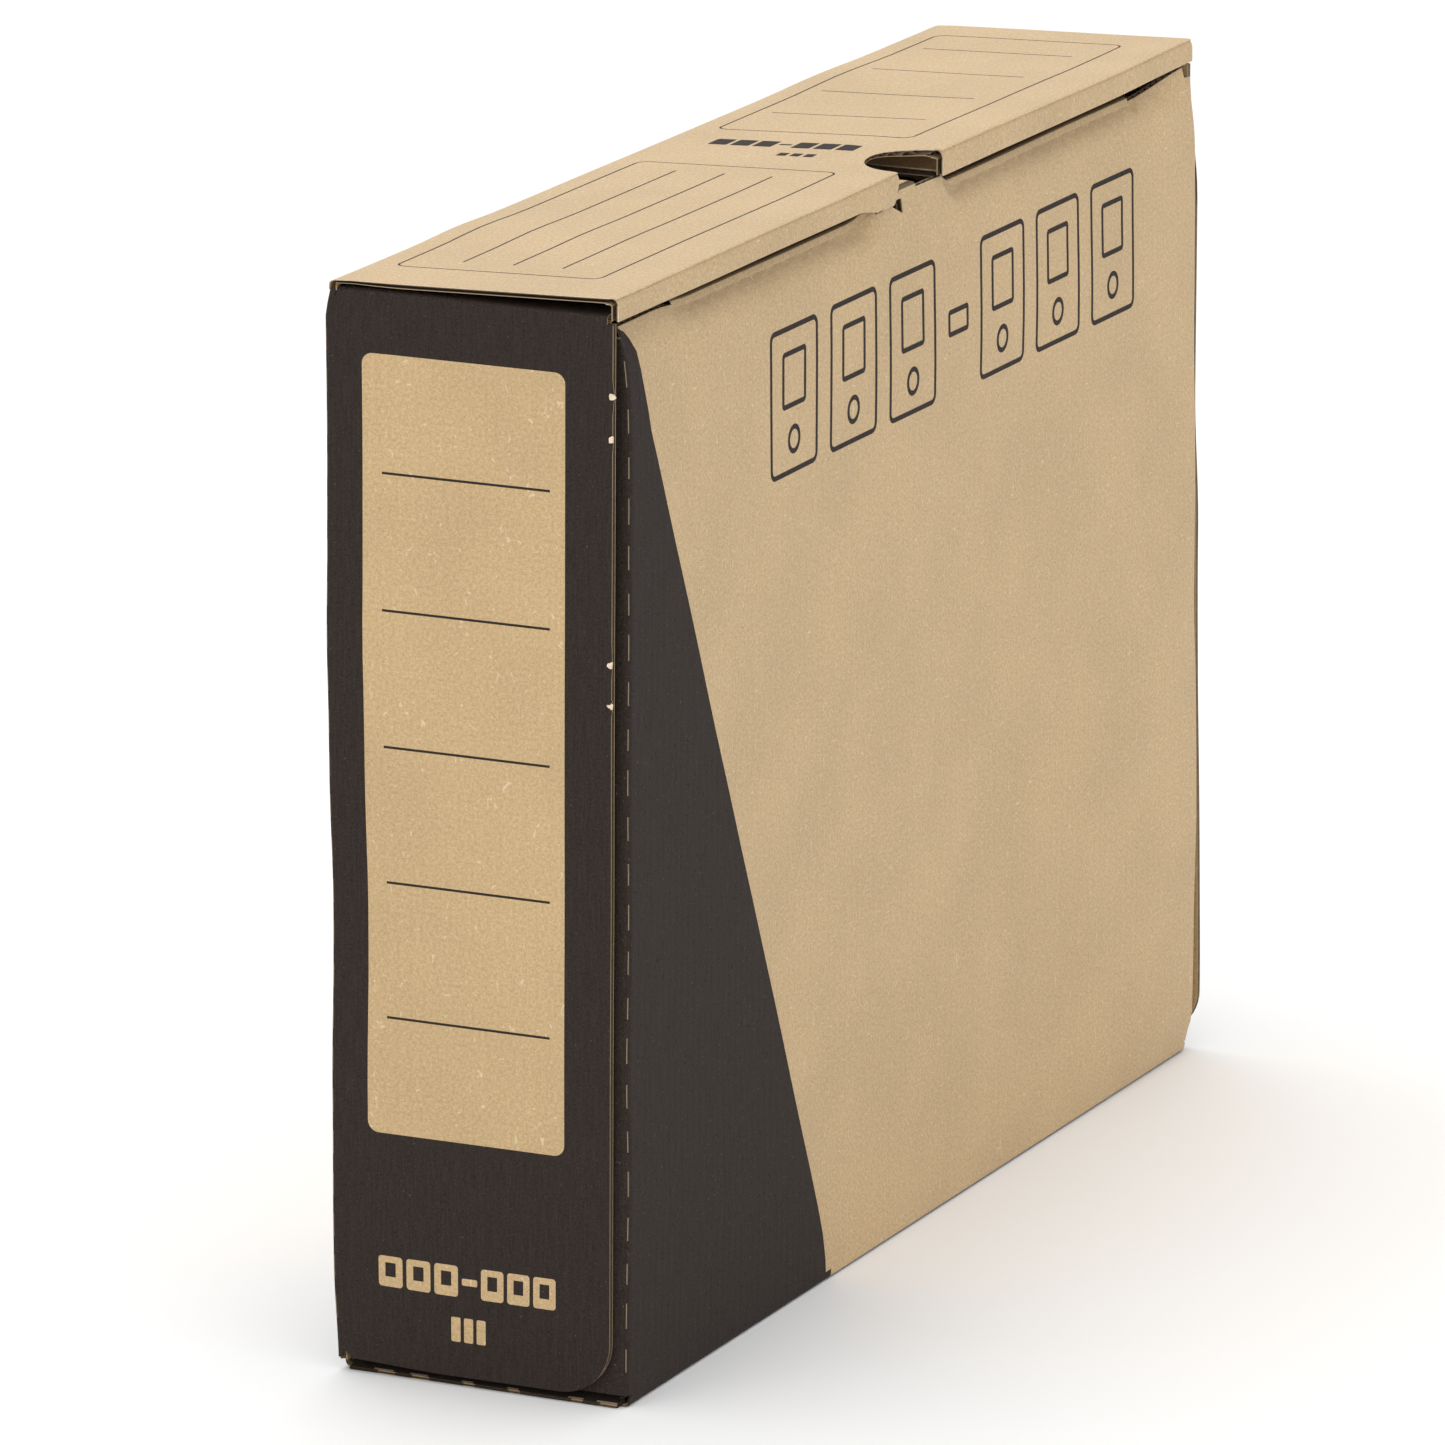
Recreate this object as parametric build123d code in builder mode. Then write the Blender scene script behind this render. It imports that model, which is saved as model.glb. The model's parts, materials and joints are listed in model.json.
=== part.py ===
from build123d import *
import math
import os

os.makedirs("parts", exist_ok=True)

# Closed box, in millimetres. The origin is on the floor, under the middle of the box.
# X runs across the spine, Y from the spine to the rear, Z up.
WIDTH = 75.0
DEPTH = 340.0
HEIGHT = 265.0

# Corrugated board: a waved paper between two flat liners.
LINER = 0.25
MEDIUM = 1.3
BOARD = 2 * LINER + MEDIUM
FLUTE_PITCH = 3.3
FLUTE_PAPER = 0.25

# Folds. An open fold turns both ways about the middle of the board, and an inner fold turns
# about the inner faces. Boards stop short of the fold line, and a crease rod lies on it.
OPEN_FOLD_GAP = 1.0
OPEN_FOLD_RADIUS = 0.85
INNER_FOLD_GAP = 0.4
INNER_FOLD_RADIUS = 0.3
PERFORATION_PITCH = 10.2
PERFORATION_BRIDGE = 4.5
CORNER_RADIUS = 2.4

# Side panel. Its top band leans in, so that it passes under the lip of the lid.
LEAN_START = 250.0
LEAN_SLOPE = 0.309
SIDE_TOP = 259.6

# Lid, with a lip in two halves beside the finger notch. The near half ends in a locking
# tongue, which enters a slot in the side panel.
LIP_FACE = 36.8
LIP_BOTTOM = 259.4
NOTCH_RADIUS = 14.5
TONGUE_LENGTH = 8.0
TONGUE_BOTTOM = 257.9
TONGUE_CORNER = 1.0

# Corners of the slot as (Y, Z). It is narrow behind the tongue and open beside it.
SLOT = [
    (-24.0, 257.6), (-15.0, 257.6), (-9.6, 255.0), (-9.0, 257.0), (-9.0, 258.6), (-24.0, 258.6),
]

# Spine end, from the outside in: outer flap with its tuck flap, inner flap, bottom flap.
OUTER_FLAP_BOTTOM = 2.6
OUTER_FLAP_EDGE = 34.6
OUTER_FLAP_CORNER = 13.0
TUCK_FLAP_TOP = 262.6
TUCK_FLAP_LENGTH = 30.0
TUCK_FLAP_EDGE = 33.2
TUCK_FLAP_TAPER = 8.0
INNER_FLAP_INSET = 3.2
INNER_FLAP_TOP = 257.0
INNER_FLAP_BOTTOM = 3.0
INNER_FLAP_LENGTH = 36.0
BOTTOM_FLAP_INSET = 5.6
BOTTOM_FLAP_TOP = 62.0
SIDE_CLEARANCE = 0.5

# Top flaps of the side panel. The far one starts at the far side of the finger notch, and the
# near one ends under the middle of the notch.
TOP_FLAP_LEVEL = 261.0
TOP_FLAP_LENGTH = 30.0
TOP_FLAP_NEAR = (-134.0, 0.0)
TOP_FLAP_FAR = (NOTCH_RADIUS, 134.0)

SMALL_CHAMFER = 2.0
FREE_CHAMFER = 6.0

half_width = WIDTH / 2
half_depth = DEPTH / 2
left_fold_x = -half_width + BOARD / 2
end_fold_y = -half_depth + BOARD / 2
lid_fold_z = HEIGHT - BOARD / 2
lip_fold_x = LIP_FACE - BOARD
lip_fold_z = HEIGHT - BOARD
tuck_fold_y = -half_depth + BOARD
tuck_fold_z = TUCK_FLAP_TOP - BOARD
inner_fold_x = half_width - BOARD
inner_fold_y = -half_depth + INNER_FLAP_INSET + BOARD
bottom_fold_y = -half_depth + BOTTOM_FLAP_INSET + BOARD
bottom_fold_z = BOARD
top_fold_z = TOP_FLAP_LEVEL - BOARD
top_fold_x = half_width - BOARD - LEAN_SLOPE * (top_fold_z - LEAN_START)
clear_half_width = half_width - BOARD - SIDE_CLEARANCE

# Directions of the outer faces, as planes seen from outside. Flutes run along each plane's y.
left_side = Plane((-half_width, 0, 0), (0, -1, 0), (-1, 0, 0))
floor_side = Plane((0, 0, 0), (0, 1, 0), (0, 0, -1))
lid_side = Plane((0, 0, HEIGHT), (0, 1, 0), (0, 0, 1))
lip_side = Plane((LIP_FACE, 0, 0), (0, 1, 0), (1, 0, 0))
top_flap_side = Plane((0, 0, TOP_FLAP_LEVEL), (0, 1, 0), (0, 0, 1))
tuck_side = Plane((0, 0, TUCK_FLAP_TOP), (1, 0, 0), (0, 0, 1))
spine_side = Plane((0, -half_depth, 0), (1, 0, 0), (0, -1, 0))
inner_flap_side = spine_side.offset(-INNER_FLAP_INSET)
bottom_flap_side = Plane((0, -half_depth + BOTTOM_FLAP_INSET, 0), (0, 0, 1), (0, -1, 0))


def save(piece, label):
    """Name a finished piece and write it."""
    piece.part.label = label
    export_step(piece.part, "parts/" + label + ".step")


def save_both_ends(piece, name):
    """Write a piece of the spine end, and its mirror image at the rear end."""
    save(piece, "spine_" + name)
    with BuildPart() as rear_piece:
        mirror(piece.part, about=Plane.XZ)
    save(rear_piece, "rear_" + name)


def rectangle(low, high, mode=Mode.ADD):
    """Draw a rectangle between two corners in the current sketch."""
    with Locations(((low[0] + high[0]) / 2, (low[1] + high[1]) / 2)):
        Rectangle(high[0] - low[0], high[1] - low[1], mode=mode)


def flute_wave(start, end):
    """Corners of a waved paper seen along its flutes, as (across, depth in the board)."""
    waves = round((end - start) / FLUTE_PITCH)
    pitch = (end - start) / waves
    crest = LINER
    trough = LINER + MEDIUM - FLUTE_PAPER
    face = []
    for wave in range(waves):
        left = start + wave * pitch
        face.append((left, crest))
        face.append((left + pitch / 4, crest))
        face.append((left + pitch / 2, trough))
        face.append((left + pitch * 3 / 4, trough))
    face.append((end, crest))
    back = [(across, depth + FLUTE_PAPER) for across, depth in reversed(face)]
    return face + back


def flat_ply(plane, outline, depth):
    """One liner of a board, with its outer side at a depth below the board's outer face."""
    with BuildPart() as liner:
        with BuildSketch(plane.offset(-depth)):
            add(outline)
        extrude(amount=-LINER)
    return liner


def waved_ply(plane, outline):
    """The fluting of a board. Its waves follow each other along the plane's x direction."""
    box = outline.bounding_box()
    section = Plane(plane.origin + plane.y_dir * box.min.Y, plane.x_dir, plane.y_dir)
    with BuildPart() as medium:
        with BuildSketch(section):
            with BuildLine():
                Polyline(flute_wave(box.min.X, box.max.X), close=True)
            make_face()
        extrude(amount=box.size.Y)
        with BuildSketch(plane):
            add(outline)
        extrude(amount=-BOARD, mode=Mode.INTERSECT)
    return medium


def board(plane, outline, name, write=save):
    """The three papers of a panel or flap, from its outer plane and its flat outline."""
    write(flat_ply(plane, outline, 0), name + "_outer_liner")
    write(waved_ply(plane, outline), name + "_fluting")
    write(flat_ply(plane, outline, BOARD - LINER), name + "_inner_liner")


def crease(name, starts, direction, radius, perforated=False, write=save):
    """Crease rods on their fold lines. A perforated crease is a row of short bridges."""
    with BuildPart() as rods:
        for start, length in starts:
            bridge = PERFORATION_BRIDGE if perforated else length
            count = int((length - bridge) // PERFORATION_PITCH) + 1
            margin = (length - bridge - (count - 1) * PERFORATION_PITCH) / 2
            for number in range(count):
                offset = margin + number * PERFORATION_PITCH
                with BuildSketch(Plane(start, z_dir=direction).offset(offset)):
                    Circle(radius)
                extrude(amount=bridge)
    write(rods, name)


def left_panel():
    reach = -end_fold_y - OPEN_FOLD_GAP
    with BuildSketch() as outline:
        rectangle((-reach, CORNER_RADIUS), (reach, lid_fold_z - OPEN_FOLD_GAP))
    board(left_side, outline.sketch, "left_panel")


def bottom_panel():
    reach = -bottom_fold_y - INNER_FOLD_GAP
    side = half_width - CORNER_RADIUS
    with BuildSketch() as outline:
        rectangle((-reach, -side), (reach, side))
    board(floor_side, outline.sketch, "bottom_panel")


def bottom_corner_folds():
    """Rounded folds that join the bottom panel to the left and side panels."""
    centre_x = half_width - CORNER_RADIUS
    with BuildPart() as folds:
        with BuildSketch(Plane((0, -bottom_fold_y, 0), (1, 0, 0), (0, -1, 0))):
            with Locations((-centre_x, CORNER_RADIUS), (centre_x, CORNER_RADIUS)):
                Circle(CORNER_RADIUS)
                Circle(CORNER_RADIUS - BOARD, mode=Mode.SUBTRACT)
            rectangle((-half_width, CORNER_RADIUS), (half_width, HEIGHT), Mode.SUBTRACT)
            rectangle((-centre_x, 0), (centre_x, CORNER_RADIUS), Mode.SUBTRACT)
        extrude(amount=-2 * bottom_fold_y)
    save(folds, "bottom_corner_folds")


def side_ply(label, corners):
    """One paper of the side panel, from its plan section as (across, depth) corners."""
    low = Plane((half_width, 0, CORNER_RADIUS), (0, 1, 0), (0, 0, 1))
    straight = LEAN_START - CORNER_RADIUS
    leaning = (SIDE_TOP - LEAN_START) * math.hypot(1, LEAN_SLOPE)
    flap_seat = top_fold_z - INNER_FOLD_GAP
    with BuildPart() as ply:
        with BuildSketch(low):
            with BuildLine():
                Polyline(corners, close=True)
            make_face()
        extrude(amount=straight)
        with BuildSketch(low.offset(straight)):
            with BuildLine():
                Polyline(corners, close=True)
            make_face()
        extrude(amount=leaning, dir=(-LEAN_SLOPE, 0, 1))
        with BuildSketch(Plane.YZ):
            rectangle((TOP_FLAP_NEAR[0], flap_seat), (TOP_FLAP_NEAR[1], HEIGHT))
            rectangle((TOP_FLAP_FAR[0], flap_seat), (TOP_FLAP_FAR[1], HEIGHT))
            with BuildLine():
                Polyline(SLOT, close=True)
            make_face()
        extrude(amount=WIDTH, mode=Mode.SUBTRACT)
    save(ply, label)


def flat_section(reach, depth):
    """Plan corners of a liner that spans the side panel at one depth."""
    far = depth + LINER
    return [(-reach, depth), (reach, depth), (reach, far), (-reach, far)]


def side_panel():
    reach = -inner_fold_y - INNER_FOLD_GAP
    side_ply("side_panel_outer_liner", flat_section(reach, 0))
    side_ply("side_panel_fluting", flute_wave(-reach, reach))
    side_ply("side_panel_inner_liner", flat_section(reach, BOARD - LINER))


def lid():
    with BuildSketch() as outline:
        lip_edge = -lip_fold_x + INNER_FOLD_GAP
        rectangle((-half_depth, lip_edge), (half_depth, -left_fold_x - OPEN_FOLD_GAP))
        with Locations((0, -LIP_FACE)):
            Circle(NOTCH_RADIUS, mode=Mode.SUBTRACT)
    board(lid_side, outline.sketch, "lid")
    start = (left_fold_x, end_fold_y, lid_fold_z)
    crease("lid_crease", [(start, -2 * end_fold_y)], (0, 1, 0), OPEN_FOLD_RADIUS)


def lips():
    lip_top = lip_fold_z - INNER_FOLD_GAP
    with BuildSketch() as near_outline:
        rectangle((-NOTCH_RADIUS - TONGUE_LENGTH, TONGUE_BOTTOM), (-NOTCH_RADIUS, lip_top))
        fillet(near_outline.vertices().group_by(Axis.Y)[0], TONGUE_CORNER)
        rectangle((-half_depth, LIP_BOTTOM), (-NOTCH_RADIUS, lip_top))
    board(lip_side, near_outline.sketch, "near_lip")
    with BuildSketch() as far_outline:
        rectangle((NOTCH_RADIUS, LIP_BOTTOM), (half_depth, lip_top))
    board(lip_side, far_outline.sketch, "far_lip")
    length = half_depth - NOTCH_RADIUS
    starts = [((lip_fold_x, y, lip_fold_z), length) for y in (-half_depth, NOTCH_RADIUS)]
    crease("lip_crease", starts, (0, 1, 0), INNER_FOLD_RADIUS)


def top_flaps():
    """Flaps that fold in from the side panel under the lid, on each side of the notch."""
    near_edge = -top_fold_x + INNER_FOLD_GAP
    for name, reach in (("near", TOP_FLAP_NEAR), ("far", TOP_FLAP_FAR)):
        with BuildSketch() as outline:
            rectangle((reach[0], near_edge), (reach[1], near_edge + TOP_FLAP_LENGTH))
            chamfer(outline.vertices().group_by(Axis.Y)[-1], FREE_CHAMFER)
        board(top_flap_side, outline.sketch, name + "_top_flap")
    starts = [
        ((top_fold_x, reach[0], top_fold_z), reach[1] - reach[0])
        for reach in (TOP_FLAP_NEAR, TOP_FLAP_FAR)
    ]
    crease("top_flap_crease", starts, (0, 1, 0), INNER_FOLD_RADIUS)


def outer_flaps():
    """Outer flaps that close the two ends, each with a tuck flap that goes under the lid."""
    top = tuck_fold_z - INNER_FOLD_GAP
    with BuildSketch() as outline:
        rectangle((left_fold_x + OPEN_FOLD_GAP, OUTER_FLAP_BOTTOM), (OUTER_FLAP_EDGE, top))
        lower = outline.vertices().group_by(Axis.Y)[0].sort_by(Axis.X)
        fillet(lower[-1], OUTER_FLAP_CORNER)
        lower = outline.vertices().group_by(Axis.Y)[0].sort_by(Axis.X)
        chamfer(lower[0], SMALL_CHAMFER)
    board(spine_side, outline.sketch, "outer_flap", save_both_ends)
    start = (left_fold_x, end_fold_y, OUTER_FLAP_BOTTOM)
    length = TUCK_FLAP_TOP - OUTER_FLAP_BOTTOM
    crease("outer_flap_crease", [(start, length)], (0, 0, 1), OPEN_FOLD_RADIUS, True,
           save_both_ends)


def tuck_flaps():
    fold_edge = tuck_fold_y + INNER_FOLD_GAP
    free_edge = fold_edge + TUCK_FLAP_LENGTH
    with BuildSketch() as outline:
        with BuildLine():
            Polyline(
                (-clear_half_width, fold_edge),
                (TUCK_FLAP_EDGE, fold_edge),
                (TUCK_FLAP_EDGE - TUCK_FLAP_TAPER, free_edge),
                (-clear_half_width, free_edge),
                close=True,
            )
        make_face()
        fillet(outline.vertices().group_by(Axis.Y)[-1], FREE_CHAMFER)
    board(tuck_side, outline.sketch, "tuck_flap", save_both_ends)
    start = (-clear_half_width, tuck_fold_y, tuck_fold_z)
    length = clear_half_width + TUCK_FLAP_EDGE
    crease("tuck_flap_crease", [(start, length)], (1, 0, 0), INNER_FOLD_RADIUS, False,
           save_both_ends)


def inner_flaps():
    """Short flaps of the side panel, behind the outer flaps."""
    fold_edge = inner_fold_x - INNER_FOLD_GAP
    free_edge = fold_edge - INNER_FLAP_LENGTH
    with BuildSketch() as outline:
        rectangle((free_edge, INNER_FLAP_BOTTOM), (fold_edge, INNER_FLAP_TOP))
        chamfer(outline.vertices().group_by(Axis.X)[0], FREE_CHAMFER)
    board(inner_flap_side, outline.sketch, "inner_flap", save_both_ends)
    start = (inner_fold_x, inner_fold_y, INNER_FLAP_BOTTOM)
    length = LEAN_START - INNER_FLAP_BOTTOM
    crease("inner_flap_crease", [(start, length)], (0, 0, 1), INNER_FOLD_RADIUS, True,
           save_both_ends)


def bottom_flaps():
    """Low flaps that stand up from the bottom panel, behind the inner flaps."""
    with BuildSketch() as outline:
        rectangle(
            (bottom_fold_z + INNER_FOLD_GAP, -clear_half_width),
            (BOTTOM_FLAP_TOP, clear_half_width),
        )
        chamfer(outline.vertices().group_by(Axis.X)[-1], FREE_CHAMFER)
    board(bottom_flap_side, outline.sketch, "bottom_flap", save_both_ends)
    start = (-clear_half_width, bottom_fold_y, bottom_fold_z)
    crease("bottom_flap_crease", [(start, 2 * clear_half_width)], (1, 0, 0),
           INNER_FOLD_RADIUS, True, save_both_ends)


left_panel()
bottom_panel()
bottom_corner_folds()
side_panel()
lid()
lips()
top_flaps()
outer_flaps()
tuck_flaps()
inner_flaps()
bottom_flaps()
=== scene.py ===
"""Archival box of printed corrugated board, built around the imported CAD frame.

Every panel and flap is rebuilt from its three papers. The liners are cut to the outlines of the
CAD liners, the flutings are the CAD waves, and both are bent by one shared field of small
bulges. The papers across a fold are strips, which blend between the bodies that it joins.
Lengths are millimetres until a mesh is made; the floor and the lights are in metres.
"""
import json
import math

import bmesh
import bpy
import numpy as np
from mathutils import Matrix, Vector, noise
from mathutils.geometry import delaunay_2d_cdt


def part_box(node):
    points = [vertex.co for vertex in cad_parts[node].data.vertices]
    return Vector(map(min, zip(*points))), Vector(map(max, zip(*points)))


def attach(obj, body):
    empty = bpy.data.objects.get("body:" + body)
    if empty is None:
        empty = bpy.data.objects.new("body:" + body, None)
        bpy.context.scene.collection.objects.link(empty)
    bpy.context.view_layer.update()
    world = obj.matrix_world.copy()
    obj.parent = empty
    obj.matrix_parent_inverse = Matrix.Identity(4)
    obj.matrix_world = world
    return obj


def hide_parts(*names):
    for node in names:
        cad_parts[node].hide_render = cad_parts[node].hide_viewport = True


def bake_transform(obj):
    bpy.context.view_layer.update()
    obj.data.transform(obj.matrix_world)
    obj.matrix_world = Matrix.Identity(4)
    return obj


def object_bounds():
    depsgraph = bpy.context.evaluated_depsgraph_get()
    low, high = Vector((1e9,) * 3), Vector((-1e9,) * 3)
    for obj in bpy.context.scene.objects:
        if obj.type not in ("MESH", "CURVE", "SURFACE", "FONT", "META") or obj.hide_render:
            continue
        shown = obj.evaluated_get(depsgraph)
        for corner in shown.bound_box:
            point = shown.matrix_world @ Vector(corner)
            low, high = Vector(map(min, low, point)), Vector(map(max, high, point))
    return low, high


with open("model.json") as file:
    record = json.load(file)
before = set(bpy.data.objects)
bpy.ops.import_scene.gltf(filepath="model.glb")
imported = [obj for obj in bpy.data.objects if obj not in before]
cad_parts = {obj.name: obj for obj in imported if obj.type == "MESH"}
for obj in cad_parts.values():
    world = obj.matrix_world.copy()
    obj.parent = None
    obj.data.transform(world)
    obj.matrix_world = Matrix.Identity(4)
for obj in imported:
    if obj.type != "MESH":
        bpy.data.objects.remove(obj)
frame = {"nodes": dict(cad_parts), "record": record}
cad_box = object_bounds()

MM = 0.001
X, Y, Z = 0, 1, 2
BODY_OF = {
    node: body
    for body, nodes in frame["record"]["behaviour"]["bodies"].items()
    for node in nodes
}


def box(node):
    """Lowest and highest corner of a CAD node at rest, in millimetres."""
    low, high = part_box(node)
    return Vector(low) / MM, Vector(high) / MM


HIGH = Vector(cad_box[1]) / MM
HALF_WIDTH = HIGH.x
HALF_DEPTH = HIGH.y
HEIGHT = HIGH.z
LINER = box("lid_outer_liner")[1].z - box("lid_outer_liner")[0].z
BOARD = box("lid_outer_liner")[1].z - box("lid_inner_liner")[0].z
FLUTE_PITCH = 3.3
GRID_STEP = 9.0

# the width of the pale rim along a cut edge
RIM = 0.42
TONGUE_LOW = box("near_lip_outer_liner")[0].z
TONGUE_NEAR, TONGUE_FAR = -24.0, -13.0
LIP_LOW = box("far_lip_outer_liner")[0].z

# heights of the torn bridges on an outer flap's free edge, and the mark of a torn shape
NICKS = (242.7, 232.7, 179.5, 169.6)
TORN = -1

# the CAD side panel leans in above LEAN_START, where the visual one curves in from CURVE_START
# on; the folds of its top flaps start at FLAP_SEAT
LEAN_START = 250.0
CURVE_START = 236
SIDE_TOP = box("side_panel_outer_liner")[1].z
FLAP_SEAT = box("far_top_flap_inner_liner")[0].z - 0.4
LEAN_SLOPE = (box("side_panel_outer_liner")[1].x - LINER - box("side_panel_outer_liner")[0].x) / (
    SIDE_TOP - LEAN_START
)


# ---------------------------------------------------------------- the shared field of bulges

def ease(start, end, value):
    """0 before start, 1 after end, and smooth between."""
    t = min(max((value - start) / (end - start), 0.0), 1.0)
    return t * t * (3 - 2 * t)


def hump(centre, reach, value):
    """1 at the centre, 0 beyond reach from it, and smooth between."""
    return 1 - ease(0, reach, abs(value - centre))


def ripple(a, b, seed):
    """Slow random waviness, from about -1 to 1."""
    return 2 * noise.noise(Vector((a, b, seed)))


def freed(y):
    """How far the side panel's top edge is pushed in and down: less or not at slot and ends."""
    kept = 0.48 * ease(-121, -147, y) + ease(132, HALF_DEPTH, y)
    return ease(-22, -34, y) + ease(14, 22, y) - kept


def bend(point, group):
    """Where a point of the flat, square box really lies."""
    x, y, z = point
    if group == "bottom_flap":
        return Vector(point)
    right = ease(0, HALF_WIDTH, x)
    left = ease(0, HALF_WIDTH, -x)
    high = ease(0, 50, z)
    dx = dy = dz = 0.0
    # the left side bulges out
    dx -= left * ease(0, 28, z) * (1 - ease(256, 263.5, z)) * (
        1.3 + 0.3 * ripple(y * 0.02, z * 0.03, 7) - 0.55 * hump(105, 80, z)
    )
    dy += high * 0.12 * ripple(x * 0.02, z * 0.02, 11)
    if group in ("carton", "inner_flap"):
        dx += bend_side(x, y, z, right, group)
        # the spine end of the side panel stands out at its foot and in at its top
        leaning = (0.25 + 0.75 * ease(-30, 34, x)) * (2.25 * z / 247 - 1.35)
        dy += ease(110, HALF_DEPTH, -y) * leaning
        # the top edges are pressed down, at the lid's crease and under the lip
        dz -= 2.0 * ease(240, 263, z) * ease(-30, -35, x)
        dz -= 3.6 * freed(y) * ease(251, 258.8, z) * ease(3, 32, x)
        # the inner flaps are lower, which leaves room for the swinging tuck flaps
        if group == "inner_flap":
            dz -= 2.0 * ease(235, 256, z) * ease(32, 22, x)
    if group in ("lid", "lip"):
        dx -= 1.7 * right * ease(110, HALF_DEPTH, y)
        dz += bend_lid(x, y, z)
        # the far side of the finger notch is pushed towards the spine
        dy -= 3.2 * hump(14.5, 15, y) * ease(10, 25, x)
        # the lid's lower papers end earlier, which leaves room for the opened lips
        if group == "lid" and z < HEIGHT - 1.5 * LINER:
            dx -= 1.1 * ease(29, 35, x)
        # the tongue dips into its slot
        if TONGUE_NEAR < y < TONGUE_FAR and z < LIP_LOW + 0.01:
            dx -= 1.0 * ease(260.4, TONGUE_LOW, z)
            dz *= ease(TONGUE_LOW - 0.4, LIP_LOW, z)
    if group == "spine_outer_flap":
        # the free edge leans: away from the left panel at its top, and towards it at its foot
        dx += 1.35 * (z - 148) / 215 * ease(-5, 33, x)
        if y < 0.25 - HALF_DEPTH:
            torn = max(hump(level, 1.1, z) for level in NICKS)
            dx += 1.0 * torn * ease(33.2, 34.6, x)
        dz += 0.9 * ease(-8, -HALF_WIDTH, x) * (1 - ease(2, 40, z))
        dz -= (0.55 + 0.4 * ease(-25, 34, x)) * ease(240, 262, z)
    if group == "rear_outer_flap":
        # the free edge has slid sideways past the side panel, except at the top
        swung = 2.4 + 1.2 * (1 - ease(140, 175, z)) + 1.8 * (1 - ease(20, 100, z))
        swung += 0.6 * hump(80, 50, z)
        dx += right * swung * (1 - ease(225, 255, z))
        dz -= 0.8 * ease(240, 262, z)
    return Vector((x + dx, y + dy, z + dz))


def bend_side(x, y, z, right, group):
    """How far the side panel and what hangs on it stand out or in."""
    top = ease(27, 32, x)
    far = ease(30, HALF_DEPTH, y)
    dx = 0.0
    if CURVE_START < z < SIDE_TOP:
        # the top band curves in smoothly, and doesn't turn in at a line
        sharp = LEAN_SLOPE * max(0.0, z - LEAN_START)
        share = (z - CURVE_START) / (SIDE_TOP - CURVE_START)
        dx += top * (sharp - LEAN_SLOPE * (SIDE_TOP - LEAN_START) * share ** 2)
    dx -= 2.0 * top * ease(250, 258.5, z) * freed(y)
    # a slight bulge all over, and a wider spread towards the rear
    dx += right * 0.35 * ease(0, 50, z) * (1 - ease(215, 262, z))
    spread = 1.4 + 1.1 * (1 - ease(40, 150, z)) + 0.6 * hump(80, 50, z) - 1.1 * ease(150, 215, z)
    if group == "carton":
        dx += right * far * ease(0, 12, z) * spread * (1 - ease(249, 260, z))
    dx += right * 0.3 * ease(0, 50, z) * ripple(y * 0.012, z * 0.03, 3)
    return dx


def bend_lid(x, y, z):
    """How far the lid stands up: its lip edge rides high and its crease is pressed down."""
    share = min(max((x + HALF_WIDTH) / (2 * HALF_WIDTH), 0.0), 1.0)
    edge = 0.75 + 0.25 * ease(-170, -125, y) + 0.15 * ease(-50, -14, y)
    edge += 0.7 * ease(-14, 12, y) - 0.7 * ease(20, 165, y)
    crease = -1.35 + 0.5 * (hump(-106, 24, y) + hump(97, 34, y))
    crease -= 0.25 * ease(-33, -HALF_WIDTH, x)
    dz = crease + (edge - crease) * share
    # the board is pressed thinner along its crease, its near end and the notch
    crushed = 0.8 * ease(-18, -36, x)
    crushed += (0.6 - 0.4 * crushed) * ease(-161, -168, y)
    crushed += 0.9 * hump(0, 17, y) * ease(12, 20, x)
    dz += crushed * min(max((HEIGHT - z) / BOARD, 0.0), 1.0)
    # the lips hang at their own height
    if x > 34:
        hanging = min(max((HEIGHT - z) / 5.6, 0.0), 1.0)
        dz += (0.95 - 1.9 * hump(-25, 12, y) - dz) * hanging
    return dz + 0.08 * ripple(x * 0.02, y * 0.02, 17)


GROUPS = {
    "lid": "lid",
    "near_lip": "lip",
    "far_lip": "lip",
    "spine_inner_flap": "inner_flap",
    "rear_inner_flap": "inner_flap",
    "spine_outer_flap": "spine_outer_flap",
    "spine_tuck_flap": "spine_outer_flap",
    "rear_outer_flap": "rear_outer_flap",
    "rear_tuck_flap": "rear_outer_flap",
    "spine_bottom_flap": "bottom_flap",
    "rear_bottom_flap": "bottom_flap",
}


# ---------------------------------------------------------------- flat shapes for the print

def rectangle(left, low, right, high):
    """A rectangle, as the corners of a loop."""
    return [(left, low), (right, low), (right, high), (left, high)]


def rounded(left, low, right, high, radius, steps=6):
    """A rectangle with rounded corners."""
    corners = (
        (right - radius, high - radius, 0),
        (left + radius, high - radius, 90),
        (left + radius, low + radius, 180),
        (right - radius, low + radius, 270),
    )
    points = []
    for a, b, start in corners:
        for step in range(steps + 1):
            angle = math.radians(start + 90 * step / steps)
            points.append((a + radius * math.cos(angle), b + radius * math.sin(angle)))
    return points


def frame_line(left, low, right, high, radius, width):
    """A thin rounded outline, as an inked shape with a bare one inside it."""
    inner = rounded(
        left + width, low + width, right - width, high - width, max(radius - width, 0.3)
    )
    return [(rounded(left, low, right, high, radius), 1), (inner, 0)]


SIGN_WIDTH = 27
DASH_WIDTH = 12
DASH_HALF_HEIGHT = 3.4
HOLE_RADIUS = 3.6


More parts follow.
